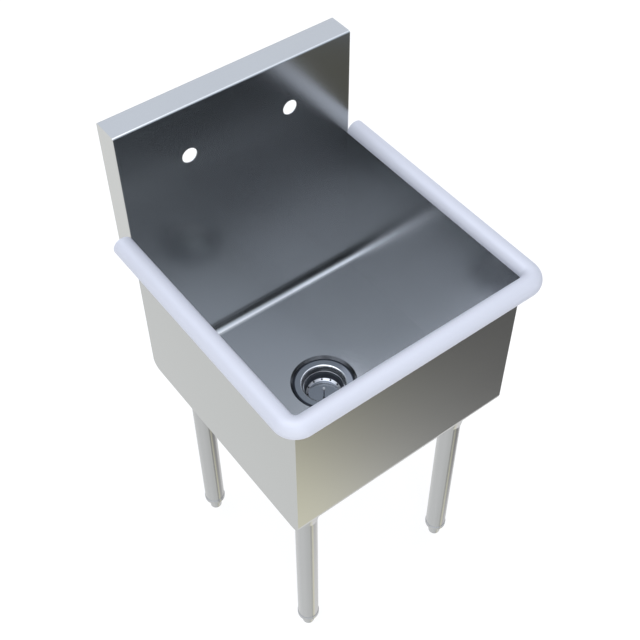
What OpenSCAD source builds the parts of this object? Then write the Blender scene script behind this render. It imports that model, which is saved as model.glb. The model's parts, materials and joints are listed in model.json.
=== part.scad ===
// Utility laundry sink: a square sheet steel bowl with a rolled rim and a high
// splash back, on four tube legs with screw feet, with a basket strainer drain.
// Millimetres. The origin is on the floor, at the middle of the whole sink.
// +X is right and +Y is back, seen from the front.

/* [Bowl] */
// Inside width of the bowl, left to right
bowl_w = 457.2; // [400:0.1:760]
// Inside depth of the bowl, front to back
bowl_d = 457.2; // [400:0.1:610]
// Height from the floor of the bowl to the top of the rim
bowl_h = 350.5; // [250:0.5:400]
// Thickness of the steel sheet
sheet_t = 1.5; // [1:0.1:2]
// Inside radius of the bends between the floor and the front and back walls
cove_r = 17.5; // [8:0.5:20]

/* [Rolled rim] */
// Outside diameter of the rolled rim
rim_d = 36; // [28:0.5:40]
// Inside radius of the rim round a front corner, seen from above
rim_inner_r = 6; // [2:0.5:20]
// How far round the sheet is rolled, in degrees
rim_sweep = 290; // [250:5:300]

/* [Splash back] */
// Height of the splash back above the top of the rim
splash_h = 202; // [160:1:300]
// Depth of the top return, with the rear edge
splash_d = 50.8; // [40:0.1:80]
// Inside radius of the bends along the top return
splash_bend_r = 1.5; // [1:0.1:4]
// Height of the rear edge that is turned down
hem_h = 20; // [12:1:40]
// How far the end caps reach below the top of the rim
cap_drop = 72; // [45:1:120]
// Distance between the centres of the two faucet holes
hole_spacing = 203.2; // [120:0.1:300]
// Diameter of a faucet hole
hole_d = 28.6; // [20:0.1:36]
// Height from the centre of a faucet hole to the top of the splash back
hole_drop = 99.5; // [50:0.5:120]

/* [Legs] */
// Height from the floor of the room to the underside of the bowl
underside_h = 489; // [300:1:600]
// Outside diameter of a leg tube
leg_d = 41.3; // [32:0.1:50]
// Wall of a leg tube
leg_wall = 1.5; // [1:0.1:3]
// Height of a leg socket
socket_h = 78; // [60:1:120]
// How much wider than the leg the socket is at the bowl, on each side
socket_flare = 13.35; // [8:0.05:24]
// Wall of a leg socket at its lower edge
socket_wall = 1.3; // [1:0.1:2]
// Gap between a leg socket and the bend of the bowl's floor
socket_gap = 5.1; // [0.1:0.1:40]
// Height of the solid lower part of a leg socket
socket_grip_h = 32; // [20:1:50]
// Diameter of the set screw in a leg socket
screw_d = 8; // [5:0.5:10]
// Length of the set screw
screw_len = 9; // [7:0.5:14]

/* [Feet] */
// How far the collar under a leg tube stands out past it, below its sloping top edge
collar_lip = 0.95; // [0.5:0.05:4]
// Height of the collar
collar_h = 9; // [4:0.5:14]
// Height of the taper below the collar
taper_h = 11; // [6:0.5:16]
// Width of the lower face of the taper, round the foot
taper_lip = 1.65; // [1:0.05:3]
// Length of the insert inside a leg tube
insert_len = 36; // [30:1:60]
// Diameter of the foot below the taper
foot_d = 24.6; // [20:0.1:28]
// Length of the foot that shows below the taper
foot_show = 23; // [18:0.5:40]
// Radius of the lower edge of the foot
foot_edge_r = 2; // [1:0.5:8]
// Width of the shoulder between the foot and its threaded stud
foot_shoulder = 4.3; // [2:0.1:6]
// How far the foot screws in from where it stands
foot_up = 10; // [5:1:15]
// How far the foot screws out from where it stands
foot_down = 25; // [10:1:30]

/* [Drain] */
// Diameter of the strainer flange
flange_d = 114.3; // [106:0.1:130]
// Thickness of the flange
flange_t = 1.5; // [1:0.1:3]
// Depth of the recess in the bowl's floor, down to the seat of the flange
recess_depth = 6; // [3:0.5:10]
// Width of the sloping side of the recess
recess_slope_w = 5.35; // [3:0.05:15]
// Radius of the bright lip where the flange turns down into the throat
lip_round = 4; // [2:0.5:6]
// Depth of the basket ledge below the flange
ledge_depth = 13; // [8:0.5:16]
// Width of the basket ledge
ledge_w = 1.6; // [1.3:0.1:2]
// How much the cup narrows below the ledge, on each side
cup_taper = 2.4; // [0.5:0.1:3]
// Wall of the strainer body at its thread
thread_wall = 2.5; // [2:0.1:4]
// Wall of the strainer body below the thread
body_wall = 1.8; // [1.2:0.1:2]
// Length of the outlet below the cup
outlet_len = 22; // [18:0.5:30]
// Wall of the outlet
outlet_wall = 4.8; // [4:0.1:6]
// Gap between the thread and the hole in the bowl's floor
floor_hole_gap = 2; // [0.5:0.5:5]
// Thickness of the rubber washer under the bowl
gasket_t = 3; // [2:0.5:5]
// Thickness of the fibre washer below it
friction_t = 1; // [0.5:0.5:2]
// How much smaller than the flange both washers are, on each side
washer_inset = 2; // [1:0.5:5]
// Thickness of the locknut
locknut_t = 8; // [6:0.5:12]
// Width of the locknut's ring
locknut_w = 7; // [5:0.5:9]
// How far the locknut's lugs stand out
lug_out = 5; // [3:0.5:8]
// Number of lugs
lug_count = 6; // [4:1:10]

/* [Tailpiece] */
// Outside diameter of the tailpiece
tail_d = 38.1; // [30:0.1:42]
// Wall of the tailpiece
tail_wall = 0.9; // [0.7:0.1:2]
// Length of the tailpiece below the coupling nut
tail_len = 97; // [60:1:200]
// How much narrower the tailpiece is at its neck, on each side
tail_neck = 0.3; // [0.25:0.05:0.4]
// Length of the neck that shows below the coupling nut
tail_neck_len = 2; // [1:0.5:5]
// How much smaller than the thread the tailpiece flange is, on each side
tail_flange_inset = 1.8; // [1:0.1:2.5]
// Thickness of the tailpiece flange
tail_flange_t = 1.6; // [1:0.1:3]
// Thickness of the tailpiece washer
tail_washer_t = 2; // [1:0.5:4]
// Height of the coupling nut
nut_h = 20; // [16:0.5:24]
// Thickness of the coupling nut's inward lip
nut_lip_t = 3; // [2:0.5:5]
// Wall of the coupling nut at its flats
nut_wall = 3.2; // [2:0.1:5]

/* [Basket] */
// Outside diameter of the basket rim
basket_rim_d = 79.6; // [74:0.1:84]
// Width of the basket rim
basket_rim_w = 2.3; // [2.2:0.1:4]
// How much the basket wall narrows, on each side
basket_draft = 3.7; // [3:0.1:6]
// Height of the basket wall above the perforated ring
basket_wall_h = 16.5; // [10:0.5:18]
// Width of the perforated ring
basket_ring_w = 4.6; // [4:0.1:6]
// Height of the perforated ring
basket_ring_h = 2.5; // [1.5:0.1:6]
// Thickness of the basket sheet
basket_t = 0.9; // [0.6:0.1:1]
// Diameter of a drain hole in the perforated ring
basket_hole_d = 3.8; // [2:0.1:4]
// How far in from the basket wall the middle of a drain hole lies
basket_hole_inset = 1.95; // [1:0.05:2.5]
// Number of drain holes round the ring
basket_hole_count = 12; // [6:1:18]
// Diameter of the basket post
post_d = 3; // [2:0.1:5]
// Height of the ball's centre above the bottom of the basket
post_h = 14; // [8:0.5:16]
// How far the ball on the post stands out past it
ball_lip = 1; // [0.8:0.1:3]
// Gap between the bottom of the basket and the rubber stopper
stopper_drop = 9; // [4:0.5:15]
// Thickness of the rubber stopper
stopper_t = 5; // [3:0.5:7]
// How far the stopper overlaps the floor of the cup round the outlet
stopper_lap = 6; // [3:0.5:8]

/* [Clearances] */
// Gap all round between pieces that slide into each other
slip = 0.15; // [0.05:0.05:0.3]
// Gap all round in a thread
thread_gap = 0.05; // [0.02:0.01:0.1]
// Gap under the basket rim, under the stopper and round the foot
loose = 0.3; // [0.2:0.05:0.4]
// Gap round the basket rim in the throat
basket_gap = 0.7; // [0.5:0.05:1]

/* [Hidden] */
$fn = 96;

// A cut reaches this far past the face that it opens.
past = 1;

// Bowl: half sizes inside, and heights above the underside of the bowl
half_w = bowl_w / 2;
half_d = bowl_d / 2;
rim_r = rim_d / 2;
rim_top = bowl_h + sheet_t;
rim_z = rim_top - rim_r;
rim_corner_r = rim_r + rim_inner_r;
cove_out_r = cove_r + sheet_t;
splash_top = rim_top + splash_h;
splash_bend_out = splash_bend_r + sheet_t;
splash_rear = half_d + splash_d;
cap_low = rim_top - cap_drop;
hole_z = splash_top - hole_drop;
// The middle of the bowl lies off the middle of the whole sink by this much.
bowl_y = (rim_d - splash_d) / 2;

// Legs
leg_r = leg_d / 2;
socket_bore_r = leg_r + slip;
socket_low_r = socket_bore_r + socket_wall;
socket_top_r = leg_r + socket_flare;
screw_z = -socket_h + socket_grip_h / 2;
// A leg's socket stands inside the bend of the bowl's floor, by the gap.
leg_inset = cove_r + socket_top_r + socket_gap;
leg_x = half_w - leg_inset;
leg_y = half_d - leg_inset;

// Feet: heights above the underside of the bowl
foot_low_z = -underside_h;
taper_low_z = foot_low_z + foot_show;
collar_low_z = taper_low_z + taper_h;
leg_low_z = collar_low_z + collar_h;
insert_top_z = leg_low_z + insert_len;
insert_r = leg_r - leg_wall - slip;
foot_r = foot_d / 2;
stud_r = foot_r - foot_shoulder;
// The foot's wide part runs up into the insert, with room to screw in.
pocket_r = foot_r + loose;
foot_sunk = 2;
foot_top_z = taper_low_z + foot_sunk;
pocket_top_z = foot_top_z + foot_up + past;
stud_top_z = pocket_top_z + foot_down + 2 * stud_r;

// Strainer body: radii, and heights above the underside of the bowl
throat_r = basket_rim_d / 2 + basket_gap;
cup_r = throat_r - ledge_w;
cup_low_r = cup_r - cup_taper;
body_r = throat_r + thread_wall;
washer_bore_r = body_r + loose;
washer_r = flange_d / 2 - washer_inset;
seat_z = sheet_t - recess_depth;
flange_z = seat_z + flange_t;
ledge_z = flange_z - ledge_depth;
gasket_low_z = seat_z - sheet_t - gasket_t;
friction_low_z = gasket_low_z - friction_t;
locknut_low_z = friction_low_z - locknut_t;
// The thread runs on below the locknut by this much.
thread_spare = 6;
thread_low_z = locknut_low_z - thread_spare;

// Basket: its rim lies just above the ledge, and its stopper on the cup's floor
basket_top_r = basket_rim_d / 2 - basket_rim_w;
basket_low_r = basket_top_r - basket_draft;
basket_flat_r = basket_low_r - basket_ring_w;
basket_top_z = ledge_z + loose + basket_t;
basket_ring_z = basket_top_z - basket_wall_h;
basket_flat_z = basket_ring_z - basket_ring_h;
ball_z = basket_flat_z + post_h;
stopper_top_z = basket_flat_z - basket_t - stopper_drop;
stopper_low_z = stopper_top_z - stopper_t;
cup_low_z = stopper_low_z - loose;

// Outlet and tailpiece
tail_r = tail_d / 2;
outlet_thread_r = tail_r + outlet_wall;
stopper_r = tail_r + stopper_lap;
tail_flange_r = outlet_thread_r - tail_flange_inset;
outlet_z = cup_low_z - outlet_len;
tail_washer_low_z = outlet_z - tail_washer_t;
tail_flange_low_z = tail_washer_low_z - tail_flange_t;
nut_low_z = tail_flange_low_z - nut_lip_t;
neck_low_z = nut_low_z - tail_neck_len;
tail_low_z = nut_low_z - tail_len;

// Colours
STEEL = "#b9bdc1";
RIM_STEEL = "#c9cdd4";
LEG_STEEL = "#b4b7ba";
DRAIN_STEEL = "#8f959c";
RUBBER = "#26282a";
FIBRE = "#8a6f4f";

// Puts the origin at the middle of the bowl, on its underside.
module at_bowl() {
    translate([0, bowl_y, underside_h])
        children();
}

// Puts the origin on a leg's axis: side is -1 for left, row is -1 for front.
module at_leg(side, row) {
    at_bowl()
        translate([side * leg_x, row * leg_y, 0])
            children();
}

// Turns an outline in Y and Z into a solid of the given width across X.
module across(width) {
    rotate([90, 0, 90])
        linear_extrude(width, center = true)
            children();
}

// Mirrors a right-hand piece to the left when side is -1.
module on_side(side) {
    mirror([side < 0 ? 1 : 0, 0, 0])
        children();
}

// A strip of sheet bent round an arc, from angle a0 up to angle a1
module bent_strip(r_out, a0, a1) {
    gap = 360 - (a1 - a0);
    reach = 2 * r_out;
    difference() {
        circle(r_out);
        circle(r_out - sheet_t);
        polygon(concat(
            [[0, 0]],
            [for (i = [0:6]) let (a = a1 + gap * i / 6) reach * [cos(a), sin(a)]]
        ));
    }
}

// A flat box from one corner to the other
module sheet_box(low, high) {
    translate(low)
        square(high - low);
}

// The front and back walls, the floor and the splash back, seen from the side
module wrapper_outline() {
    sheet_box([-half_d - sheet_t, cove_out_r], [-half_d, rim_z]);
    translate([-half_d + cove_r, cove_out_r])
        bent_strip(cove_out_r, 180, 270);
    sheet_box([-half_d + cove_r, 0], [half_d - cove_r, sheet_t]);
    translate([half_d - cove_r, cove_out_r])
        bent_strip(cove_out_r, 270, 360);
    sheet_box([half_d, cove_out_r], [half_d + sheet_t, splash_top - splash_bend_out]);
    translate([half_d + splash_bend_out, splash_top - splash_bend_out])
        bent_strip(splash_bend_out, 90, 180);
    sheet_box(
        [half_d + splash_bend_out, splash_top - sheet_t],
        [splash_rear - splash_bend_out, splash_top]
    );
    translate([splash_rear - splash_bend_out, splash_top - splash_bend_out])
        bent_strip(splash_bend_out, 0, 90);
    sheet_box([splash_rear - sheet_t, splash_top - hem_h], [splash_rear, splash_top - splash_bend_out]);
}

// The recess round the drain, as a ring of sheet
module drain_recess() {
    seat_r = flange_d / 2 + past;
    top_r = seat_r + recess_slope_w;
    hole_r = body_r + floor_hole_gap;
    rotate_extrude()
        polygon([
            [top_r, sheet_t], [seat_r, seat_z], [hole_r, seat_z],
            [hole_r, seat_z - sheet_t], [seat_r, seat_z - sheet_t], [top_r, 0]
        ]);
}

// One bent sheet: front wall with its roll, floor, back wall and splash back
module bowl_wrapper() {
    color(STEEL) at_bowl() {
        difference() {
            across(bowl_w) wrapper_outline();
            translate([0, 0, -past])
                cylinder(h = sheet_t + 2 * past, r = flange_d / 2 + past + recess_slope_w);
            for (side = [-1, 1])
                translate([side * hole_spacing / 2, half_d - past, hole_z])
                    rotate([-90, 0, 0])
                        cylinder(h = sheet_t + 2 * past, d = hole_d);
        }
        drain_recess();
        across(bowl_w - 2 * rim_inner_r)
            translate([-half_d - rim_r, rim_z])
                bent_strip(rim_r, 0, rim_sweep);
    }
}

// A flat side panel whose top edge is rolled outwards
module side_panel(side) {
    color(STEEL) at_bowl() on_side(side) {
        translate([half_w + sheet_t / 2, 0, 0])
            across(sheet_t) {
                for (y = [-1, 1])
                    translate([y * (half_d - cove_r), cove_out_r])
                        circle(cove_out_r);
                sheet_box([-half_d + cove_r, 0], [half_d - cove_r, cove_out_r]);
                sheet_box([-half_d - sheet_t, cove_out_r], [half_d + sheet_t, rim_z]);
            }
        translate([half_w + rim_r, half_d, rim_z])
            rotate([90, 0, 0])
                linear_extrude(bowl_d - rim_inner_r)
                    bent_strip(rim_r, 180 - rim_sweep, 180);
    }
}

// A formed corner that joins the front roll to a side roll
module rim_corner(side) {
    web_r = rim_inner_r + sheet_t / 2;
    color(RIM_STEEL) at_bowl() on_side(side)
        translate([half_w - rim_inner_r, -half_d + rim_inner_r, rim_z]) {
            rotate([0, 0, -90])
                rotate_extrude(angle = 90)
                    translate([rim_corner_r, 0])
                        bent_strip(rim_r, 180 - rim_sweep, 180);
            linear_extrude(sheet_t)
                difference() {
                    translate([0, -rim_inner_r - sheet_t])
                        square(rim_inner_r + sheet_t);
                    circle(web_r);
                }
        }
}

// A round plate that closes the rear end of a side roll
module rim_plug(side) {
    color(RIM_STEEL) at_bowl() on_side(side)
        translate([half_w + rim_r, half_d, rim_z])
            rotate([90, 0, 0])
                cylinder(h = sheet_t, r = rim_r - sheet_t - slip);
}

// A flat plate that closes an end of the splash back
module splash_cap(side) {
    color(STEEL) at_bowl() on_side(side)
        translate([half_w + sheet_t / 2, 0, 0])
            across(sheet_t) {
                for (y = [half_d + splash_bend_out, splash_rear - splash_bend_out])
                    translate([y, splash_top - splash_bend_out])
                        circle(splash_bend_out);
                sheet_box(
                    [half_d + splash_bend_out, splash_top - splash_bend_out],
                    [splash_rear - splash_bend_out, splash_top]
                );
                sheet_box([half_d, rim_z], [splash_rear, splash_top - splash_bend_out]);
                sheet_box([half_d + sheet_t, cap_low], [splash_rear, rim_z]);
            }
}

// Points a set screw at the middle of the sink, from a leg's axis.
module at_screw(side, row) {
    at_leg(side, row)
        translate([0, 0, screw_z])
            rotate([0, 0, atan2(-row, -side)])
                rotate([0, 90, 0])
                    children();
}

// A conical socket under the bowl: its lower part grips the leg
module leg_socket(side, row) {
    grip_top = -socket_h + socket_grip_h;
    grip_r = socket_low_r + (socket_top_r - socket_low_r) * socket_grip_h / socket_h;
    cone_wall = 2 * socket_wall;
    color(LEG_STEEL)
        difference() {
            at_leg(side, row)
                rotate_extrude()
                    polygon([
                        [socket_bore_r, -socket_h], [socket_low_r, -socket_h],
                        [socket_top_r, 0], [socket_top_r - cone_wall, 0],
                        [grip_r - cone_wall, grip_top], [socket_bore_r, grip_top]
                    ]);
            at_screw(side, row)
                cylinder(h = socket_top_r, d = screw_d + 2 * thread_gap);
        }
}

// The four set screws, each with a hexagon socket
module leg_set_screws() {
    color(DRAIN_STEEL)
        for (side = [-1, 1], row = [-1, 1])
            at_screw(side, row)
                translate([0, 0, leg_r + thread_gap])
                    difference() {
                        cylinder(h = screw_len, d = screw_d);
                        translate([0, 0, screw_len / 2])
                            cylinder(h = screw_len, d = screw_d / 2, $fn = 6);
                    }
}

// A leg tube, from the collar of its foot up to the underside of the bowl
module leg(side, row) {
    color(LEG_STEEL) at_leg(side, row)
        translate([0, 0, leg_low_z])
            difference() {
                cylinder(h = -leg_low_z, r = leg_r);
                translate([0, 0, -past])
                    cylinder(h = -leg_low_z + 2 * past, r = leg_r - leg_wall);
            }
}

// The threaded insert in the lower end of a leg, with its collar and taper
module foot_insert(side, row) {
    stud_bore_r = stud_r + thread_gap;
    collar_r = leg_r + collar_lip;
    color(LEG_STEEL) at_leg(side, row)
        rotate_extrude()
            polygon([
                [pocket_r, taper_low_z], [pocket_r + taper_lip, taper_low_z],
                [collar_r, collar_low_z], [collar_r, leg_low_z - collar_lip],
                [leg_r, leg_low_z], [insert_r, leg_low_z], [insert_r, insert_top_z],
                [stud_bore_r, insert_top_z], [stud_bore_r, pocket_top_z],
                [pocket_r, pocket_top_z]
            ]);
}

// A bullet foot on its threaded stud
module foot(side, row) {
    flat_r = foot_r - foot_edge_r;
    edge_z = foot_low_z + foot_edge_r;
    color(LEG_STEEL) at_leg(side, row)
        rotate_extrude() {
            sheet_box([0, foot_low_z], [flat_r, foot_top_z]);
            sheet_box([0, edge_z], [foot_r, foot_top_z]);
            intersection() {
                translate([flat_r, edge_z])
                    circle(foot_edge_r);
                sheet_box([0, foot_low_z], [foot_r, edge_z]);
            }
            sheet_box([0, foot_top_z], [stud_r, stud_top_z]);
        }
}

// The strainer body: flange, throat, basket ledge, cup and threaded outlet
module strainer_body() {
    lip_r = throat_r + lip_round;
    bend = 2 * body_wall;
    color(DRAIN_STEEL) at_bowl()
        rotate_extrude()
            difference() {
                polygon([
                    [flange_d / 2, seat_z], [flange_d / 2, flange_z - flange_t / 2],
                    [flange_d / 2 - flange_t / 2, flange_z], [throat_r, flange_z],
                    [throat_r, ledge_z], [cup_r, ledge_z],
                    [cup_low_r, cup_low_z + bend], [cup_low_r - bend, cup_low_z],
                    [tail_r, cup_low_z], [tail_r, outlet_z],
                    [outlet_thread_r, outlet_z],
                    [outlet_thread_r, cup_low_z - body_wall],
                    [cup_low_r - bend, cup_low_z - body_wall],
                    [cup_low_r + body_wall, cup_low_z + bend],
                    [cup_r + body_wall, thread_low_z], [body_r, thread_low_z],
                    [body_r, seat_z]
                ]);
                difference() {
                    sheet_box(
                        [throat_r - past, flange_z - lip_round],
                        [lip_r, flange_z + past]
                    );
                    translate([lip_r, flange_z - lip_round])
                        circle(lip_round);
                }
            }
}

// A flat ring with its lower face at z
module ring(z, height, r_in, r_out) {
    translate([0, 0, z])
        difference() {
            cylinder(h = height, r = r_out);
            translate([0, 0, -past])
                cylinder(h = height + 2 * past, r = r_in);
        }
}

module drain_gasket() {
    color(RUBBER) at_bowl()
        ring(gasket_low_z, gasket_t, washer_bore_r, washer_r);
}

module friction_washer() {
    color(FIBRE) at_bowl()
        ring(friction_low_z, friction_t, washer_bore_r, washer_r);
}

// The large nut that pulls the strainer down, with lugs for a spanner
module locknut() {
    locknut_r = body_r + locknut_w;
    color(DRAIN_STEEL) at_bowl()
        translate([0, 0, locknut_low_z])
            difference() {
                union() {
                    cylinder(h = locknut_t, r = locknut_r);
                    for (i = [1:lug_count])
                        rotate([0, 0, i * 360 / lug_count])
                            translate([0, -lug_out, 0])
                                cube([locknut_r + lug_out, 2 * lug_out, locknut_t]);
                }
                translate([0, 0, -past])
                    cylinder(h = locknut_t + 2 * past, r = body_r + thread_gap);
            }
}

// The nut that holds the tailpiece to the outlet
module coupling_nut() {
    flat_r = outlet_thread_r + nut_wall;
    color(DRAIN_STEEL) at_bowl()
        translate([0, 0, nut_low_z])
            difference() {
                cylinder(h = nut_h, r = flat_r / cos(30), $fn = 6);
                translate([0, 0, -past])
                    cylinder(h = nut_h + 2 * past, r = tail_r + loose);
                translate([0, 0, nut_lip_t])
                    cylinder(h = nut_h, r = outlet_thread_r + thread_gap);
            }
}

module tailpiece_washer() {
    color(RUBBER) at_bowl()
        ring(tail_washer_low_z, tail_washer_t, tail_r, tail_flange_r);
}

// A tube that the trap is slipped onto, with a neck under its flange
module tailpiece() {
    color(DRAIN_STEEL) at_bowl()
        difference() {
            union() {
                translate([0, 0, tail_low_z])
                    cylinder(h = neck_low_z - tail_low_z, r = tail_r);
                translate([0, 0, neck_low_z])
                    cylinder(h = tail_flange_low_z - neck_low_z, r = tail_r - tail_neck);
                translate([0, 0, tail_flange_low_z])
                    cylinder(h = tail_flange_t, r = tail_flange_r);
            }
            translate([0, 0, tail_low_z - past])
                cylinder(h = tail_washer_low_z - tail_low_z + 2 * past, r = tail_r - tail_wall);
        }
}

// The lift-out basket, with a ring of drain holes above its flat bottom
module strainer_basket() {
    post_bore_r = post_d / 2 + thread_gap;
    ring_tilt = atan2(basket_ring_w, basket_ring_h);
    hole_low = basket_hole_inset * basket_ring_h / basket_ring_w;
    color(DRAIN_STEEL) at_bowl()
        difference() {
            rotate_extrude()
                polygon([
                    [post_bore_r, basket_flat_z], [basket_flat_r, basket_flat_z],
                    [basket_low_r, basket_ring_z], [basket_top_r, basket_top_z],
                    [basket_rim_d / 2, basket_top_z], [basket_rim_d / 2, basket_top_z - basket_t],
                    [basket_top_r + basket_t, basket_top_z - basket_t],
                    [basket_low_r + basket_t, basket_ring_z - basket_t / 2],
                    [basket_flat_r + basket_t / 4, basket_flat_z - basket_t],
                    [post_bore_r, basket_flat_z - basket_t]
                ]);
            for (i = [1:basket_hole_count])
                rotate([0, 0, i * 360 / basket_hole_count])
                    translate([basket_low_r - basket_hole_inset, 0, basket_ring_z - hole_low])
                        rotate([0, 90 + ring_tilt, 0])
                            cylinder(h = 4 * basket_t, d = basket_hole_d, center = true);
        }
}

// The post, with its ball grip, the shoulder under the basket and the end rivet
module basket_post() {
    shoulder_d = 2 * post_d;
    rivet_t = 1;
    color(DRAIN_STEEL) at_bowl() {
        translate([0, 0, ball_z])
            sphere(d = post_d + 2 * ball_lip);
        translate([0, 0, stopper_low_z - rivet_t])
            cylinder(h = ball_z - stopper_low_z + rivet_t, d = post_d);
        translate([0, 0, stopper_top_z])
            cylinder(h = stopper_drop, d = shoulder_d);
        translate([0, 0, stopper_low_z - rivet_t])
            cylinder(h = rivet_t, d = shoulder_d);
    }
}

// The rubber disc that closes the outlet when the basket is pushed down
module basket_stopper() {
    color(RUBBER) at_bowl()
        ring(stopper_low_z, stopper_t, post_d / 2 + thread_gap, stopper_r);
}

bowl_wrapper();
side_panel(-1);  // side_panel_left
side_panel(1);  // side_panel_right
rim_corner(-1);  // rim_corner_left
rim_corner(1);  // rim_corner_right
rim_plug(-1);  // rim_plug_left
rim_plug(1);  // rim_plug_right
splash_cap(-1);  // splash_cap_left
splash_cap(1);  // splash_cap_right
leg_socket(-1, -1);  // leg_socket_front_left
leg_socket(1, -1);  // leg_socket_front_right
leg_socket(-1, 1);  // leg_socket_rear_left
leg_socket(1, 1);  // leg_socket_rear_right
leg_set_screws();
leg(-1, -1);  // leg_front_left
leg(1, -1);  // leg_front_right
leg(-1, 1);  // leg_rear_left
leg(1, 1);  // leg_rear_right
foot_insert(-1, -1);  // foot_insert_front_left
foot_insert(1, -1);  // foot_insert_front_right
foot_insert(-1, 1);  // foot_insert_rear_left
foot_insert(1, 1);  // foot_insert_rear_right
foot(-1, -1);  // foot_front_left
foot(1, -1);  // foot_front_right
foot(-1, 1);  // foot_rear_left
foot(1, 1);  // foot_rear_right
strainer_body();
drain_gasket();
friction_washer();
locknut();
coupling_nut();
tailpiece_washer();
tailpiece();
strainer_basket();
basket_post();
basket_stopper();
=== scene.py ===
"""Looks of the utility laundry sink: finishes, fine detail, studio and camera. Metres."""
import json
import math

import bmesh
import bpy
from mathutils import Matrix, Vector


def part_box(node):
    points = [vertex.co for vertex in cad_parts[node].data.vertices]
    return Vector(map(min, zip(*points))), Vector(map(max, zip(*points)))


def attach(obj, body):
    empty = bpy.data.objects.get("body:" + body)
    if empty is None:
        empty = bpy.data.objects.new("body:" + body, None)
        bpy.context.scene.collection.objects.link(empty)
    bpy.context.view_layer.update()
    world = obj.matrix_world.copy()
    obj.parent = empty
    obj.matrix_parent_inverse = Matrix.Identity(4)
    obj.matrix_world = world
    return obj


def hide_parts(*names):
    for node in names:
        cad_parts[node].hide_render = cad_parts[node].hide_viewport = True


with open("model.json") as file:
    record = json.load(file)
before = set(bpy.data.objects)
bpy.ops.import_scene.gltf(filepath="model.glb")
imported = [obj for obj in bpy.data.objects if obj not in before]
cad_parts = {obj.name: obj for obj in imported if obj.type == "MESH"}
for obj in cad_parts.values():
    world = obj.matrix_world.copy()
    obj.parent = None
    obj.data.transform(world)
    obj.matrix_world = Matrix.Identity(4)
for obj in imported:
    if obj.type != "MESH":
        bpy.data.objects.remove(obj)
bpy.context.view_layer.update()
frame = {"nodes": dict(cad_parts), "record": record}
nodes = frame["nodes"]
CORNERS = ("front_left", "front_right", "rear_left", "rear_right")


# Camera: place and angles fitted to the photo's edges
CAMERA_PLACE = Vector((-0.76144, -1.00487, 2.14242))
CAMERA_AZIMUTH = math.radians(-37.037)
CAMERA_ELEVATION = math.radians(49.577)
CAMERA_ROLL = math.radians(-0.264)
SENSOR_MM = 36.0
LENS_MM = 62.07


def make_camera():
    """A camera with the photo's viewpoint."""
    back = Vector((
        math.sin(CAMERA_AZIMUTH) * math.cos(CAMERA_ELEVATION),
        -math.cos(CAMERA_AZIMUTH) * math.cos(CAMERA_ELEVATION),
        math.sin(CAMERA_ELEVATION),
    ))
    level = Vector((0, 0, 1)).cross(back).normalized()
    upright = back.cross(level)
    turn = Matrix((level, upright, back)).transposed()
    data = bpy.data.cameras.new("camera")
    data.sensor_width = SENSOR_MM
    data.lens = LENS_MM
    data.clip_end = 50
    camera = bpy.data.objects.new("camera", data)
    bpy.context.scene.collection.objects.link(camera)
    rolled = turn @ Matrix.Rotation(CAMERA_ROLL, 3, "Z")
    camera.matrix_world = Matrix.Translation(CAMERA_PLACE) @ rolled.to_4x4()
    bpy.context.scene.camera = camera


# Small helpers for node materials
def new_tree(name):
    """A new node material with an empty tree: the material, its tree and its output."""
    material = bpy.data.materials.new(name)
    material.use_nodes = True
    tree = material.node_tree
    tree.nodes.clear()
    output = tree.nodes.new("ShaderNodeOutputMaterial")
    return material, tree, output


def add(tree, kind, **settings):
    """A node of a kind, with settings for its properties and plain values for its sockets."""
    node = tree.nodes.new("ShaderNode" + kind)
    for key, value in settings.items():
        if hasattr(node, key):
            setattr(node, key, value)
        else:
            node.inputs[key.replace("_", " ")].default_value = value
    return node


def ramp(tree, source, low, high, start=0.0, end=1.0):
    """Maps a value from start..end to low..high."""
    node = add(tree, "MapRange")
    node.inputs["From Min"].default_value = start
    node.inputs["From Max"].default_value = end
    node.inputs["To Min"].default_value = low
    node.inputs["To Max"].default_value = high
    tree.links.new(source, node.inputs["Value"])
    return node.outputs["Result"]


def calc(tree, operation, first, second=0.0):
    """One step of arithmetic on sockets or plain numbers."""
    node = add(tree, "Math", operation=operation)
    for socket, value in zip(node.inputs, (first, second)):
        if isinstance(value, (int, float)):
            socket.default_value = value
        else:
            tree.links.new(value, socket)
    return node.outputs["Value"]


def color_ramp(tree, source, stops):
    """A colour by a value, from pairs of a value and its colour."""
    node = add(tree, "ValToRGB")
    tree.links.new(source, node.inputs["Fac"])
    elements = node.color_ramp.elements
    while len(elements) < len(stops):
        elements.new(0.5)
    for element, (value, color) in zip(elements, stops):
        element.position = value
        element.color = (*color, 1)
    return node.outputs["Color"]


def blend_colors(tree, factor, low, high):
    """A mix of two colours, each a plain colour or a socket."""
    node = add(tree, "Mix", data_type="RGBA", blend_type="MIX")
    tree.links.new(factor, node.inputs["Factor"])
    for name, value in (("A", low), ("B", high)):
        if isinstance(value, tuple):
            node.inputs[name].default_value = (*value, 1)
        else:
            tree.links.new(value, node.inputs[name])
    return node.outputs["Result"]


def blend_values(tree, factor, low, high):
    """A mix of two numbers, each a plain number or a socket."""
    node = add(tree, "Mix", data_type="FLOAT")
    tree.links.new(factor, node.inputs["Factor"])
    for name, value in (("A", low), ("B", high)):
        if isinstance(value, float):
            node.inputs[name].default_value = value
        else:
            tree.links.new(value, node.inputs[name])
    return node.outputs["Result"]


def object_place(tree):
    """The point on the object, in metres: the whole vector and its three parts."""
    place = add(tree, "TexCoord").outputs["Object"]
    split = add(tree, "SeparateXYZ")
    tree.links.new(place, split.inputs["Vector"])
    return place, split.outputs["X"], split.outputs["Y"], split.outputs["Z"]


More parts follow.
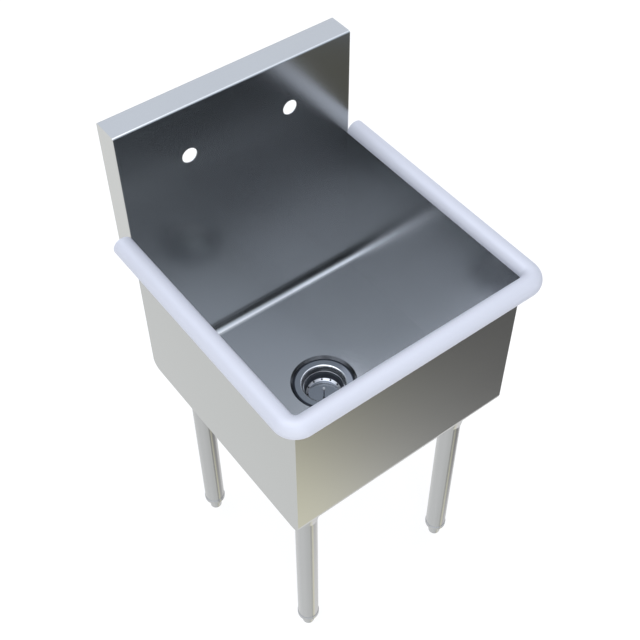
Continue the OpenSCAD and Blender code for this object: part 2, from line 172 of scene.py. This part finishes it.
# Faces of the sheets, from the boxes of the CAD nodes. HAIR keeps a test clear of a face.
HAIR = 0.0002
SHEET = 0.0015
TOP_BEND = 0.001
TOP_DEPTH = 0.0508
BACK_BEND = 0.0175
corner_low, corner_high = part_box("rim_corner_right")
roll_radius = (corner_high[2] - corner_low[2]) / 2
roll_z = (corner_high[2] + corner_low[2]) / 2
side_face = corner_high[0] - 2 * roll_radius + SHEET
front_face = corner_low[1] + 2 * roll_radius - SHEET
wrapper_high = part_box("bowl_wrapper")[1]
back_face = wrapper_high[1] - TOP_DEPTH
splash_top = wrapper_high[2]


def on_side_roll(tree, x, y, z):
    """1 on the roll of a side panel, and 0 on its flat wall."""
    above = calc(tree, "GREATER_THAN", z, roll_z)
    outside = calc(tree, "GREATER_THAN", calc(tree, "ABSOLUTE", x), side_face + HAIR)
    return calc(tree, "MAXIMUM", above, outside)


def on_front_roll(tree, x, y, z):
    """1 on the roll of the front wall, and 0 elsewhere on the bent sheet."""
    above = calc(tree, "GREATER_THAN", z, roll_z)
    front = calc(tree, "LESS_THAN", y, front_face + 2 * SHEET)
    outside = calc(tree, "LESS_THAN", y, front_face - HAIR)
    return calc(tree, "MAXIMUM", calc(tree, "MULTIPLY", above, front), outside)


def in_bowl(tree, x, y, z):
    """1 inside the side panels, and on the bent sheet behind its front wall and below its top."""
    inside = calc(tree, "LESS_THAN", calc(tree, "ABSOLUTE", x), side_face - SHEET / 2)
    behind = calc(tree, "GREATER_THAN", y, front_face + SHEET / 2)
    below = calc(tree, "LESS_THAN", z, splash_top - TOP_BEND)
    return calc(tree, "MULTIPLY", calc(tree, "MULTIPLY", inside, behind), below)


def on_back_wall(tree, x, y, z):
    """1 on the front of the back wall and of the splash back, with half of the bend below."""
    behind = calc(tree, "GREATER_THAN", y, back_face - BACK_BEND / 2)
    before = calc(tree, "LESS_THAN", y, back_face + SHEET / 2)
    return calc(tree, "MULTIPLY", in_bowl(tree, x, y, z), calc(tree, "MULTIPLY", behind, before))


def on_splash_top(tree, x, y, z):
    """1 on the flat top of the splash back."""
    return calc(tree, "GREATER_THAN", z, splash_top - HAIR)


# Edges in the drain: radii from its axis, and heights of the basket's parts
LIP_ROUND = 0.004
LIP_OUTER = 0.0445
FLANGE_EDGE = 0.0548
SEAT_EDGE = 0.0588
BASKET_SHEET = 0.0009
BASKET_RING_H = 0.0025
BASKET_RIM = 0.001
BALL_H = 0.005
drain_low, drain_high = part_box("strainer_body")
drain_x = (drain_low[0] + drain_high[0]) / 2
drain_y = (drain_low[1] + drain_high[1]) / 2
basket_low, basket_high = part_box("strainer_basket")
disc_top = basket_low[2] + BASKET_SHEET
ring_top = disc_top + BASKET_RING_H
ball_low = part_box("basket_post")[1][2] - BALL_H


def from_drain(tree, x, y):
    """The distance from the drain's upright axis."""
    across = calc(tree, "SUBTRACT", x, drain_x)
    along = calc(tree, "SUBTRACT", y, drain_y)
    squares = calc(tree, "ADD", calc(tree, "MULTIPLY", across, across),
                   calc(tree, "MULTIPLY", along, along))
    return calc(tree, "SQRT", squares)


def on_lip(tree, x, y, z):
    """1 within the outer edge of the rounded lip."""
    return calc(tree, "LESS_THAN", from_drain(tree, x, y), LIP_OUTER)


def on_flange_edge(tree, x, y, z):
    """1 on the chamfered edge of the flange."""
    return calc(tree, "GREATER_THAN", from_drain(tree, x, y), FLANGE_EDGE)


def on_seat(tree, x, y, z):
    """1 on the bowl's sheet where the flange sits in its recess."""
    return calc(tree, "LESS_THAN", from_drain(tree, x, y), SEAT_EDGE)


def below_lip(tree, x, y, z):
    """1 on the strainer body below its rounded lip."""
    return calc(tree, "LESS_THAN", z, drain_high[2] - LIP_ROUND)


def on_basket_ring(tree, x, y, z):
    """1 on the sloping ring with the drain holes."""
    return calc(tree, "GREATER_THAN", z, disc_top + HAIR)


def on_basket_wall(tree, x, y, z):
    """1 on the basket above its ring."""
    return calc(tree, "GREATER_THAN", z, ring_top + HAIR)


def high_on_wall(tree, x, y, z):
    """0 at the middle of the basket's wall, and 1 at its top, where it gets painted light."""
    return ramp(tree, z, 0, 1, (ring_top + basket_high[2]) / 2, basket_high[2])


def on_basket_rim(tree, x, y, z):
    """1 on the top of the basket's rim."""
    return calc(tree, "GREATER_THAN", z, basket_high[2] - BASKET_RIM)


def below_ball(tree, x, y, z):
    """1 on the post below its ball."""
    return calc(tree, "LESS_THAN", z, ball_low)


# Finishes: colour, roughness and how much of a metal the surface is. Some are lighter or darker copies of
# one steel that paint light or shade, as noted at each
SHEET_FINISH = ((0.545, 0.553, 0.535), 0.18, 1.0)
# Painted light: a lighter copy of the steel on the flat top of the splash back, which faces the sky
LIT_TOP_FINISH = ((0.64, 0.652, 0.638), 0.18, 1.0)
# Painted shade: a darker copy of the sheet's steel inside the bowl and on its back and underside
SHADED_BOWL_FINISH = ((0.44, 0.446, 0.453), 0.2, 1.0)
# Painted shade: a darker, greener copy of the steel on the front of the back wall and splash back
SHADED_BACK_FINISH = ((0.437, 0.453, 0.447), 0.2, 1.0)
# Painted light: a lighter copy of the steel on the splash caps
LIT_CAP_FINISH = ((0.65, 0.655, 0.63), 0.2, 1.0)
# Satin and little metal, with painted light: a paler, bluish copy of the same steel on the rolled rim,
# standing for the bright sky it reflects
LIT_RIM_FINISH = ((0.61, 0.622, 0.68), 0.5, 0.15)
LEG_FINISH = ((0.54, 0.545, 0.54), 0.2, 1.0)
DRAIN_FINISH = ((0.27, 0.285, 0.305), 0.12, 1.0)
# Painted highlight: the post's ball is near white and little metal, standing for its glint
GLINT_BALL_FINISH = ((0.93, 0.94, 0.95), 0.3, 0.2)
# Painted highlight: a lighter, glossier copy of the drain steel on the lip and the basket's rim
PAINTED_HIGHLIGHT_FINISH = ((0.56, 0.565, 0.57), 0.1, 1.0)
# Painted shade: near black steel in the drain's throat below the lip
THROAT_SHADE_FINISH = ((0.09, 0.095, 0.10), 0.35, 1.0)
# Dull steel of the weld beads, and painted shade on the basket's wall and the post's stem
DULL_AND_SHADED_FINISH = ((0.20, 0.21, 0.23), 0.3, 1.0)
# Painted shade: near black on the flange's chamfered edge and on the bowl's seat round the flange
RECESS_SHADE_FINISH = ((0.05, 0.055, 0.065), 0.3, 1.0)
# Painted light: the basket's wall lighter towards its top
LIT_WALL_FINISH = ((0.42, 0.43, 0.45), 0.3, 1.0)
# Rougher, and lighter as painted light: a copy of the drain steel on the basket's sloping ring
LIT_RING_FINISH = ((0.36, 0.365, 0.37), 0.32, 1.0)
BEAD_FINISH = ((0.26, 0.265, 0.27), 0.15, 1.0)
CAST_FINISH = ((0.38, 0.38, 0.39), 0.45, 1.0)
POLISHED_FINISH = ((0.72, 0.73, 0.74), 0.1, 1.0)
RUBBER_COLOR = (0.03, 0.03, 0.032)
RUBBER_ROUGHNESS = 0.7
FIBRE_COLOR = (0.30, 0.20, 0.11)
FIBRE_ROUGHNESS = 0.8

# Surface detail of the metal: noise scales per metre, and heights in metres
GRAIN_FINE = 1400
GRAIN_LONG = 14
GRAIN_STRENGTH = 0.05
GRAIN_HEIGHT = 0.00002
CLOUD_SCALE = 5.0
WAVE_SCALE = 4.5
WAVE_STRENGTH = 0.15
WAVE_HEIGHT = 0.0006
MOTTLE_IN_COLOR = 0.035
MOTTLE_IN_ROUGHNESS = 0.03

# Surface detail of rubber and fibre
RUBBER_SCALE = 600.0
RUBBER_DARKER = 0.75
RUBBER_LIGHTER = 1.3
RUBBER_ROUGHER = 0.1
RUBBER_BUMP = 0.3
RUBBER_BUMP_HEIGHT = 0.0001


def steel(name, finish, grain="X", wave=WAVE_STRENGTH, zones=()):
    """Satin steel: fine grain along one axis, faint clouds and a slight waviness.

    Each zone is a mask and the finish that takes over there; some zones paint light or shade."""
    material, tree, output = new_tree(name)
    link = tree.links.new
    color, roughness, metallic = finish
    shader = add(tree, "BsdfPrincipled", Metallic=metallic)
    link(shader.outputs["BSDF"], output.inputs["Surface"])
    place, x, y, z = object_place(tree)

    stretch = add(tree, "Mapping")
    stretch.inputs["Scale"].default_value = [GRAIN_LONG if a == grain else GRAIN_FINE for a in "XYZ"]
    link(place, stretch.inputs["Vector"])
    fine = add(tree, "TexNoise", Scale=1.0, Detail=3.0, Roughness=0.6)
    link(stretch.outputs["Vector"], fine.inputs["Vector"])
    clouds = add(tree, "TexNoise", Scale=CLOUD_SCALE, Detail=4.0, Roughness=0.55)
    link(place, clouds.inputs["Vector"])

    base = color
    rough = roughness
    metal = metallic
    for where, (zone_color, zone_roughness, zone_metallic) in zones:
        mask = where(tree, x, y, z)
        base = blend_colors(tree, mask, base, zone_color)
        rough = blend_values(tree, mask, rough, zone_roughness)
        if metal != zone_metallic:
            metal = blend_values(tree, mask, metal, zone_metallic)
    if metal != metallic:
        link(metal, shader.inputs["Metallic"])
    mottle = calc(tree, "ADD", ramp(tree, fine.outputs["Fac"], -0.5, 0.5),
                  ramp(tree, clouds.outputs["Fac"], -0.5, 0.5))
    gain = ramp(tree, mottle, 1 - MOTTLE_IN_COLOR, 1 + MOTTLE_IN_COLOR, -1, 1)
    tint = add(tree, "VectorMath", operation="SCALE")
    if isinstance(base, tuple):
        tint.inputs[0].default_value = base
    else:
        link(base, tint.inputs[0])
    link(gain, tint.inputs["Scale"])
    link(tint.outputs["Vector"], shader.inputs["Base Color"])
    uneven = calc(tree, "MULTIPLY", mottle, MOTTLE_IN_ROUGHNESS)
    link(calc(tree, "ADD", rough, uneven), shader.inputs["Roughness"])

    wavy = add(tree, "Bump", Strength=wave, Distance=WAVE_HEIGHT)
    broad = add(tree, "TexNoise", Scale=WAVE_SCALE, Detail=1.0)
    link(place, broad.inputs["Vector"])
    link(broad.outputs["Fac"], wavy.inputs["Height"])
    brushed = add(tree, "Bump", Strength=GRAIN_STRENGTH, Distance=GRAIN_HEIGHT)
    link(fine.outputs["Fac"], brushed.inputs["Height"])
    link(wavy.outputs["Normal"], brushed.inputs["Normal"])
    link(brushed.outputs["Normal"], shader.inputs["Normal"])
    return material


def rubber(name, color, roughness):
    """Matt rubber or fibre with a fine mottle."""
    material, tree, output = new_tree(name)
    link = tree.links.new
    shader = add(tree, "BsdfPrincipled")
    link(shader.outputs["BSDF"], output.inputs["Surface"])
    place = object_place(tree)[0]
    mottle = add(tree, "TexNoise", Scale=RUBBER_SCALE, Detail=4.0)
    link(place, mottle.inputs["Vector"])
    dark = tuple(c * RUBBER_DARKER for c in color)
    light = tuple(c * RUBBER_LIGHTER for c in color)
    link(blend_colors(tree, mottle.outputs["Fac"], dark, light), shader.inputs["Base Color"])
    uneven = ramp(tree, mottle.outputs["Fac"], roughness - RUBBER_ROUGHER, roughness + RUBBER_ROUGHER)
    link(uneven, shader.inputs["Roughness"])
    bump = add(tree, "Bump", Strength=RUBBER_BUMP, Distance=RUBBER_BUMP_HEIGHT)
    link(mottle.outputs["Fac"], bump.inputs["Height"])
    link(bump.outputs["Normal"], shader.inputs["Normal"])
    return material


# Zones: painted shade inside the bowl, on the back wall and on the drain's seat; painted light on the
# splash top and on the rolls of the rim
bowl_sheet = steel("bowl_sheet", SHEET_FINISH, zones=(
    (in_bowl, SHADED_BOWL_FINISH), (on_back_wall, SHADED_BACK_FINISH), (on_seat, RECESS_SHADE_FINISH),
    (on_splash_top, LIT_TOP_FINISH), (on_front_roll, LIT_RIM_FINISH)))
side_sheet = steel("side_sheet", SHEET_FINISH, grain="Y", zones=(
    (in_bowl, SHADED_BOWL_FINISH), (on_side_roll, LIT_RIM_FINISH)))
# The splash caps take a lighter copy of the steel: painted light
cap_sheet = steel("cap_sheet", LIT_CAP_FINISH, grain="Z")
# The rim corners take the paler copy of the steel: painted light
lit_rim_sheet = steel("lit_rim_sheet", LIT_RIM_FINISH, grain="Y")
tube = steel("tube", LEG_FINISH, grain="Z")
# Zones: painted shade on the flange's edge, in the throat, on the basket's wall and on the post's stem;
# painted light on the ring and the upper wall; painted highlight on the lip, the basket's rim and the ball
body_metal = steel("body_metal", DRAIN_FINISH, wave=0.0, zones=(
    (on_flange_edge, RECESS_SHADE_FINISH), (on_lip, PAINTED_HIGHLIGHT_FINISH), (below_lip, THROAT_SHADE_FINISH)))
basket_metal = steel("basket_metal", DRAIN_FINISH, wave=0.0, zones=(
    (on_basket_ring, LIT_RING_FINISH), (on_basket_wall, DULL_AND_SHADED_FINISH), (high_on_wall, LIT_WALL_FINISH),
    (on_basket_rim, PAINTED_HIGHLIGHT_FINISH)))
post_metal = steel("post_metal", GLINT_BALL_FINISH, wave=0.0, zones=((below_ball, DULL_AND_SHADED_FINISH),))
cast = steel("cast", CAST_FINISH, wave=0.0)
polished = steel("polished", POLISHED_FINISH, wave=0.0)
black_rubber = rubber("black_rubber", RUBBER_COLOR, RUBBER_ROUGHNESS)
brown_fibre = rubber("brown_fibre", FIBRE_COLOR, FIBRE_ROUGHNESS)


def finish_of(name):
    """The material of a CAD node, by its name."""
    if name == "bowl_wrapper":
        return bowl_sheet
    if name.startswith("side_panel"):
        return side_sheet
    if name.startswith("splash_cap"):
        return cap_sheet
    if name.startswith("rim_"):
        return lit_rim_sheet
    if name.startswith(("leg_", "foot_")):
        return tube
    return {
        "drain_gasket": black_rubber,
        "tailpiece_washer": black_rubber,
        "basket_stopper": black_rubber,
        "friction_washer": brown_fibre,
        "locknut": cast,
        "coupling_nut": polished,
        "tailpiece": polished,
        "strainer_body": body_metal,
        "strainer_basket": basket_metal,
        "basket_post": post_metal,
    }[name]


for name, node in nodes.items():
    for entry in node.material_slots:
        entry.material = finish_of(name)


# Small meshes, as rings of points. A thread's section is in parts of its pitch.
SHARP_ANGLE = math.radians(35)
THREAD_SUNK = 0.0002
THREAD_FOOT = 0.42
THREAD_TIP = 0.12
THREAD_FADE_TURNS = 0.25


def swept(rings, loop=False):
    """Points and faces of a tube through rings of points: a loop, or closed with a cap at each end."""
    across = len(rings[0])
    points = [point for ring in rings for point in ring]
    last = len(rings) if loop else len(rings) - 1
    faces = []
    for i in range(last):
        low, high = i * across, (i + 1) % len(rings) * across
        for j in range(across):
            after = (j + 1) % across
            faces.append((low + j, low + after, high + after, high + j))
    if not loop:
        faces.append(tuple(range(across)))
        faces.append(tuple(range(last * across, (last + 1) * across)))
    return points, faces


def make_piece(name, shells, material, body):
    """One piece from closed shells of points and faces, riding on a body."""
    points, faces = [], []
    for shell_points, shell_faces in shells:
        first = len(points)
        points.extend(shell_points)
        faces.extend(tuple(first + i for i in face) for face in shell_faces)
    mesh = bpy.data.meshes.new(name)
    mesh.from_pydata(points, [], faces)
    work = bmesh.new()
    work.from_mesh(mesh)
    bmesh.ops.recalc_face_normals(work, faces=work.faces)
    work.to_mesh(mesh)
    work.free()
    mesh.polygons.foreach_set("use_smooth", [True] * len(faces))
    mesh.set_sharp_from_angle(angle=SHARP_ANGLE)
    piece = bpy.data.objects.new(name, mesh)
    bpy.context.scene.collection.objects.link(piece)
    mesh.materials.append(material)
    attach(piece, body)
    return piece


def circle(center, radius, height, count):
    """Points round an upright axis."""
    turns = [2 * math.pi * i / count for i in range(count)]
    return [(center[0] + radius * math.cos(t), center[1] + radius * math.sin(t), height) for t in turns]


def thread(center, low, high, pitch, root, crest, steps):
    """A thread's ridge, wound up a shaft from low to high, which fades out at both ends."""
    count = int((high - low) / pitch * steps)
    fade_steps = steps * THREAD_FADE_TURNS
    inner = root - THREAD_SUNK
    rings = []
    for i in range(count + 1):
        turn = 2 * math.pi * i / steps
        peak = root + (crest - root) * min(1.0, i / fade_steps, (count - i) / fade_steps)
        height = low + pitch * i / steps
        section = ((inner, -THREAD_FOOT), (peak, -THREAD_TIP), (peak, THREAD_TIP), (inner, THREAD_FOOT))
        rings.append([(center[0] + r * math.cos(turn), center[1] + r * math.sin(turn), height + pitch * up)
                      for r, up in section])
    return swept(rings)


# A rolled bead round the basket's rim
BEAD_RADIUS = 0.0006
BEAD_FLAT = 0.9
BEAD_TURN = 0.0377
BEAD_STEPS = (96, 10)


def make_bead():
    """A thin rolled edge on the basket's rim, riding on the basket."""
    around, across = BEAD_STEPS
    bends = [2 * math.pi * j / across for j in range(across)]
    section = [(BEAD_TURN + BEAD_RADIUS * math.cos(bend),
                basket_high[2] + BEAD_RADIUS * BEAD_FLAT * math.sin(bend)) for bend in bends]
    rings = []
    for i in range(around):
        turn = 2 * math.pi * i / around
        rings.append([(drain_x + r * math.cos(turn), drain_y + r * math.sin(turn), z)
                      for r, z in section])
    material = steel("bead_metal", BEAD_FINISH, wave=0.0)
    make_piece("basket_rim_bead", [swept(rings, loop=True)], material, "basket")


# The feet, with the threads that their plain studs stand for
STUD_RADIUS = 0.008
STUD_PITCH = 0.002
STUD_DEPTH = 0.0007
STUD_CHAMFER = 0.0012
FOOT_WIDE_TOP = 0.025
FOOT_EDGE = 0.002
FOOT_EDGE_STEPS = 6
FOOT_SIDES = 64
STUD_STEPS = 36


def make_foot(corner):
    """A bullet foot with a rounded edge, on a stud with a real thread."""
    low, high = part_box("foot_" + corner)
    center = ((low[0] + high[0]) / 2, (low[1] + high[1]) / 2)
    radius = (high[0] - low[0]) / 2
    root = STUD_RADIUS - STUD_DEPTH
    outline = []
    for i in range(FOOT_EDGE_STEPS + 1):
        bend = math.pi / 2 * i / FOOT_EDGE_STEPS
        outline.append((radius - FOOT_EDGE * (1 - math.sin(bend)),
                        low[2] + FOOT_EDGE * (1 - math.cos(bend))))
    outline += [(radius, FOOT_WIDE_TOP), (root, FOOT_WIDE_TOP),
                (root, high[2] - STUD_CHAMFER), (root - STUD_CHAMFER, high[2])]
    shaft = swept([circle(center, r, z, FOOT_SIDES) for r, z in outline])
    ridge = thread(center, FOOT_WIDE_TOP + STUD_PITCH / 2, high[2] - STUD_PITCH, STUD_PITCH,
                   root, STUD_RADIUS, STUD_STEPS)
    foot = make_piece("threaded_foot_" + corner, [shaft, ridge], tube,
                      "screw_foot_" + corner)
    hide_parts("foot_" + corner)


# The drain's threads where they show from below, and the weld beads of the leg sockets
DRAIN_PITCH = 0.0022
DRAIN_THREAD = 0.0005
DRAIN_STEPS = 72
BODY_THREAD_RADIUS = 0.043
BODY_THREAD_LENGTH = 0.006
OUTLET_RADIUS = 0.02385
OUTLET_TOP_BELOW_FLANGE = 0.0478
WELD_RADIUS = 0.0016
WELD_RIPPLE = 0.00025
WELD_RIPPLES = 60
WELD_STEPS = (360, 12)


def make_drain_threads():
    """The threads below the locknut and above the coupling nut."""
    center = (drain_x, drain_y)
    locknut_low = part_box("locknut")[0][2]
    nut_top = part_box("coupling_nut")[1][2]
    outlet_top = drain_high[2] - OUTLET_TOP_BELOW_FLANGE
    stretches = ((locknut_low - BODY_THREAD_LENGTH, locknut_low, BODY_THREAD_RADIUS),
                 (nut_top, outlet_top, OUTLET_RADIUS))
    ridges = [thread(center, low + DRAIN_PITCH / 2, high - DRAIN_PITCH / 2, DRAIN_PITCH,
                     radius, radius + DRAIN_THREAD, DRAIN_STEPS) for low, high, radius in stretches]
    material = steel("thread_metal", DRAIN_FINISH, wave=0.0)
    make_piece("drain_threads", ridges, material, "sink_body")


def make_welds():
    """A rippled weld bead round the upper edge of each leg socket."""
    around, across = WELD_STEPS
    bends = [2 * math.pi * j / across for j in range(across)]
    shells = []
    for corner in CORNERS:
        low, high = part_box("leg_socket_" + corner)
        center = ((low[0] + high[0]) / 2, (low[1] + high[1]) / 2)
        radius = (high[0] - low[0]) / 2
        rings = []
        for i in range(around):
            turn = 2 * math.pi * i / around
            thick = WELD_RADIUS + WELD_RIPPLE * math.sin(turn * WELD_RIPPLES)
            section = [(radius + thick * math.cos(bend),
                        high[2] - WELD_RADIUS / 2 + thick * math.sin(bend)) for bend in bends]
            rings.append([(center[0] + r * math.cos(turn), center[1] + r * math.sin(turn), z)
                          for r, z in section])
        shells.append(swept(rings, loop=True))
    material = steel("weld_metal", DULL_AND_SHADED_FINISH, wave=0.0)
    make_piece("socket_welds", shells, material, "sink_body")


# The floor: its side, how far it lies below the lowest foot, its two colours and its glow
FLOOR_SIZE = 14.0
FLOOR_CLEAR = 0.0005
FLOOR_COLOR = (0.8, 0.8, 0.8, 1)
FLOOR_SEEN_COLOR = (0.3, 0.3, 0.3, 1)
FLOOR_GLOW = 0.76

# The card: how far out it stands, where it begins and ends, and its shades by height
CARD_OUT = 0.46
CARD_HEIGHTS = (0.70, 1.6)
CARD_HALF_WIDTH = 1.0
CARD_SHADES = (
    (0.70, (0.15, 0.155, 0.165)),
    (0.98, (0.52, 0.57, 0.65)),
)
CARD_TOP = (1.07, 1.16, 1.38)
CARD_TOP_FROM_TO = (0.98, 1.38)

# The sky by the upright part of a direction, a plain one for soft light, and the gain that
# directions to the left have between two heights
SKY = (
    (0.0, (0.80, 0.82, 0.88)),
    (0.69, (0.80, 0.85, 0.98)),
    (0.75, (0.97, 1.05, 1.22)),
    (0.80, (1.0, 1.08, 1.26)),
    (0.86, (1.5, 1.6, 1.8)),
)
SKY_FOR_SHADE = (0.86, 0.89, 0.95)
LEFT_GAIN = (1.0, 2.2)
LEFT_HEIGHTS = (0.66, 0.78)
LEFT_FROM_TO = (0.05, -0.15)

# The light below the horizon: greys by how far a direction leans to the front right, tints by
# its compass angle in degrees, and shades by how far it points down
BELOW_TURN = math.radians(35)
BELOW_GREYS = ((0.46, 1.0), (0.495, 0.86), (0.54, 0.475), (0.565, 0.34), (0.60, 0.22), (0.65, 0.15))
BELOW_TINTS = (
    (-150, (0.857, 0.866, 0.88)),
    (-60, (0.86, 0.87, 0.88)),
    (-35, (0.80, 0.81, 0.82)),
    (-10, (0.77, 0.78, 0.78)),
    (20, (0.82, 0.82, 0.80)),
    (27, (1.06, 1.03, 0.81)),
    (36, (1.05, 1.01, 0.81)),
    (45, (1.01, 1.0, 0.99)),
    (55, (1.01, 1.0, 1.02)),
    (110, (0.80, 0.80, 0.80)),
    (180, (0.857, 0.866, 0.88)),
)
HORIZON_SHADES = (
    (0.0, (0.95, 0.95, 0.95)),
    (0.12, (0.62, 0.63, 0.65)),
    (0.40, (1.0, 1.0, 1.0)),
)

# A darker strip of it between compass angles in degrees, which fades out towards straight down
STRIP_ANGLES = (2, 7, 18, 23)
STRIP_GAIN = (0.36, 0.82)
STRIP_HEIGHTS = (-0.82, -0.88)

# Lamps: name, place, aim, side, power, and whether the metal shows it
LAMPS = (
    ("overhead", (0, 0, 3.2), (0, 0, 0), 1.2, 6, True),
    ("key", (-1.6, -2.8, 1.4), (0, 0, 0.8), 1.8, 27, False),
)


def sheet_object(name, points_by_row):
    """A grid mesh from rows of points."""
    rows = len(points_by_row)
    columns = len(points_by_row[0])
    points = [p for line in points_by_row for p in line]
    faces = [
        (r * columns + c, r * columns + c + 1, (r + 1) * columns + c + 1, (r + 1) * columns + c)
        for r in range(rows - 1) for c in range(columns - 1)
    ]
    mesh = bpy.data.meshes.new(name)
    mesh.from_pydata(points, [], faces)
    mesh.polygons.foreach_set("use_smooth", [True] * len(faces))
    obj = bpy.data.objects.new(name, mesh)
    bpy.context.scene.collection.objects.link(obj)
    return obj


def make_floor():
    """A plain pale floor that looks white and keeps a soft shadow. The metal sees the world below.

    It lies just below the feet as they are when screwed all the way out, so it hides no pose."""
    joints = frame["record"]["behaviour"]["joints"]
    reach = max(joint["range_m"][1] for joint in joints if joint["name"].startswith("foot_"))
    half = FLOOR_SIZE / 2
    z = -reach - FLOOR_CLEAR
    floor = sheet_object("floor", [[(x, y, z) for x in (-half, half)] for y in (-half, half)])
    material, tree, output = new_tree("floor")
    link = tree.links.new
    path = add(tree, "LightPath").outputs
    seen = calc(tree, "MAXIMUM", path["Is Camera Ray"],
                calc(tree, "MAXIMUM", path["Is Glossy Ray"], path["Is Transmission Ray"]))
    plain = add(tree, "BsdfDiffuse", Color=FLOOR_COLOR)
    shown = add(tree, "BsdfDiffuse", Color=FLOOR_SEEN_COLOR)
    glow = add(tree, "Emission", Strength=FLOOR_GLOW)
    both = add(tree, "AddShader")
    link(shown.outputs["BSDF"], both.inputs[0])
    link(glow.outputs["Emission"], both.inputs[1])
    pick = add(tree, "MixShader")
    link(seen, pick.inputs["Fac"])
    link(plain.outputs["BSDF"], pick.inputs[1])
    link(both.outputs["Shader"], pick.inputs[2])
    link(pick.outputs["Shader"], output.inputs["Surface"])
    floor.data.materials.append(material)
    floor.visible_glossy = False


def make_card():
    """A card beyond the front right corner, seen only in the metal: dark, and pale at its top."""
    out = Vector((1, -1, 0)).normalized() * CARD_OUT
    along = Vector((1, 1, 0)).normalized() * CARD_HALF_WIDTH
    rows = [[out + along * t + Vector((0, 0, z)) for z in CARD_HEIGHTS] for t in (-1, 1)]
    card = sheet_object("studio_card", rows)
    material, tree, output = new_tree("studio_card")
    z = object_place(tree)[3]
    shade = color_ramp(tree, z, CARD_SHADES)
    color = blend_colors(tree, ramp(tree, z, 0, 1, *CARD_TOP_FROM_TO), shade, CARD_TOP)
    glow = add(tree, "Emission", Strength=1.0)
    tree.links.new(color, glow.inputs["Color"])
    tree.links.new(glow.outputs["Emission"], output.inputs["Surface"])
    card.data.materials.append(material)
    for ray in ("camera", "diffuse", "transmission", "volume_scatter", "shadow"):
        setattr(card, "visible_" + ray, False)


def times(tree, first, second):
    """Two colours multiplied."""
    node = add(tree, "VectorMath", operation="MULTIPLY")
    for socket, value in zip(node.inputs, (first, second)):
        tree.links.new(value, socket)
    return node.outputs["Vector"]


def light_below(tree, x, y, z):
    """What the metal sees below the horizon: pale, with a dark front right and a darker strip."""
    lean_right = calc(tree, "ADD", calc(tree, "MULTIPLY", x, math.cos(BELOW_TURN)),
                      calc(tree, "MULTIPLY", y, -math.sin(BELOW_TURN)))
    turn = calc(tree, "ARCTAN2", x, calc(tree, "MULTIPLY", y, -1.0))
    round_once = ramp(tree, turn, 0, 1, -math.pi, math.pi)
    greys = [(lean, (grey, grey, grey)) for lean, grey in BELOW_GREYS]
    tints = [((degrees + 180) / 360, tint) for degrees, tint in BELOW_TINTS]
    color = times(tree, color_ramp(tree, lean_right, greys), color_ramp(tree, round_once, tints))
    down = calc(tree, "MULTIPLY", z, -1.0)
    color = times(tree, color, color_ramp(tree, down, HORIZON_SHADES))
    begin, full, last_full, end = (math.radians(degrees) for degrees in STRIP_ANGLES)
    strip = calc(tree, "MULTIPLY", ramp(tree, turn, 0, 1, begin, full),
                 ramp(tree, turn, 1, 0, last_full, end))
    gain = blend_values(tree, strip, 1.0, ramp(tree, z, *STRIP_GAIN, *STRIP_HEIGHTS))
    scaled = add(tree, "VectorMath", operation="SCALE")
    tree.links.new(color, scaled.inputs[0])
    tree.links.new(gain, scaled.inputs["Scale"])
    return scaled.outputs["Vector"]


def make_world():
    """White to the camera, and a soft sky, brighter overhead, for the light and the metal."""
    world = bpy.data.worlds.new("studio")
    bpy.context.scene.world = world
    world.use_nodes = True
    tree = world.node_tree
    tree.nodes.clear()
    output = add(tree, "OutputWorld")
    place = add(tree, "TexCoord").outputs["Generated"]
    split = add(tree, "SeparateXYZ")
    tree.links.new(place, split.inputs["Vector"])
    x, y, z = split.outputs
    path = add(tree, "LightPath")
    lighting = path.outputs["Is Diffuse Ray"]
    soft = add(tree, "Background")
    gain = ramp(tree, z, *LEFT_GAIN, *LEFT_HEIGHTS)
    left = blend_values(tree, ramp(tree, x, 0, 1, *LEFT_FROM_TO), 1.0, gain)
    tree.links.new(blend_values(tree, lighting, left, 1.0), soft.inputs["Strength"])
    below = light_below(tree, x, y, z)
    sky = blend_colors(tree, calc(tree, "LESS_THAN", z, 0.0), color_ramp(tree, z, SKY), below)
    sky = blend_colors(tree, lighting, sky, SKY_FOR_SHADE)
    tree.links.new(sky, soft.inputs["Color"])
    white = add(tree, "Background", Color=(1, 1, 1, 1), Strength=1.0)
    pick = add(tree, "MixShader")
    tree.links.new(path.outputs["Is Camera Ray"], pick.inputs["Fac"])
    tree.links.new(soft.outputs["Background"], pick.inputs[1])
    tree.links.new(white.outputs["Background"], pick.inputs[2])
    tree.links.new(pick.outputs["Shader"], output.inputs["Surface"])


def make_lamp(name, place, aim, side, power, in_metal):
    """A square soft lamp that points at a place, and may stay out of the metal."""
    data = bpy.data.lights.new(name, "AREA")
    data.shape = "SQUARE"
    data.size = side
    data.energy = power
    lamp = bpy.data.objects.new(name, data)
    bpy.context.scene.collection.objects.link(lamp)
    toward = (Vector(aim) - Vector(place)).to_track_quat("-Z", "Y")
    lamp.matrix_world = Matrix.Translation(place) @ toward.to_matrix().to_4x4()
    lamp.visible_glossy = in_metal


make_bead()
make_drain_threads()
make_welds()
for corner in CORNERS:
    make_foot(corner)
make_camera()
make_world()
make_floor()
make_card()
for lamp in LAMPS:
    make_lamp(*lamp)

bpy.context.scene.view_settings.view_transform = "Standard"
